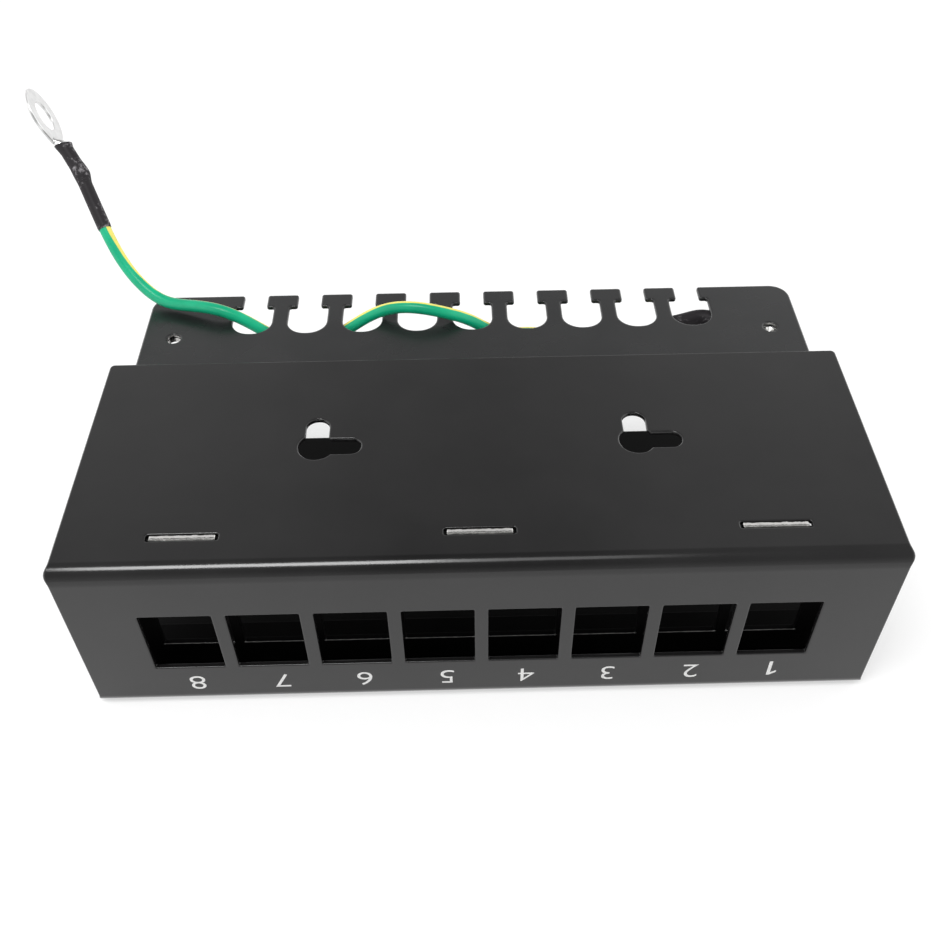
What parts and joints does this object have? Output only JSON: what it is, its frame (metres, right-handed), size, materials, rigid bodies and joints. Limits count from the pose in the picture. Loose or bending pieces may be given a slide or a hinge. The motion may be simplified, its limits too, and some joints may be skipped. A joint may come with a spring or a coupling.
{
  "type": "keystone patch panel",
  "caption": "Blank keystone patch panel folded from black sheet steel, with keyholes for hanging it, a comb for cable ties and a green earth lead ending in a ring terminal.",
  "frame": {"origin": "under the middle of the panel, on the surface its cover flange lies on", "axes": "+X along the row of ports, -Y out of the port front, +Z out of the mounting flange"},
  "size_m": [0.191, 0.1248, 0.0848],
  "materials": {
    "shell_coat": "black powder coat, satin",
    "tie_coat": "black powder coat, satin",
    "bracket_coat": "black powder coat, satin",
    "lead_insulation": "satin green with a yellow stripe",
    "heat_shrink": "satin black",
    "tin": "bright tin plate",
    "screw_zinc": "bright zinc plate"
  },
  "bodies": {
    "root": {"panel_shell": "shell_coat", "keystone_bracket": "bracket_coat", "cable_tie_plate": "tie_coat", "earth_lead": "lead_insulation", "free_heat_shrink": "heat_shrink", "free_ring_terminal": "tin", "fixed_heat_shrink": "heat_shrink", "fixed_ring_terminal": "tin", "earth_screw": "screw_zinc", "earth_washer": "screw_zinc"}
  },
  "joints": []
}
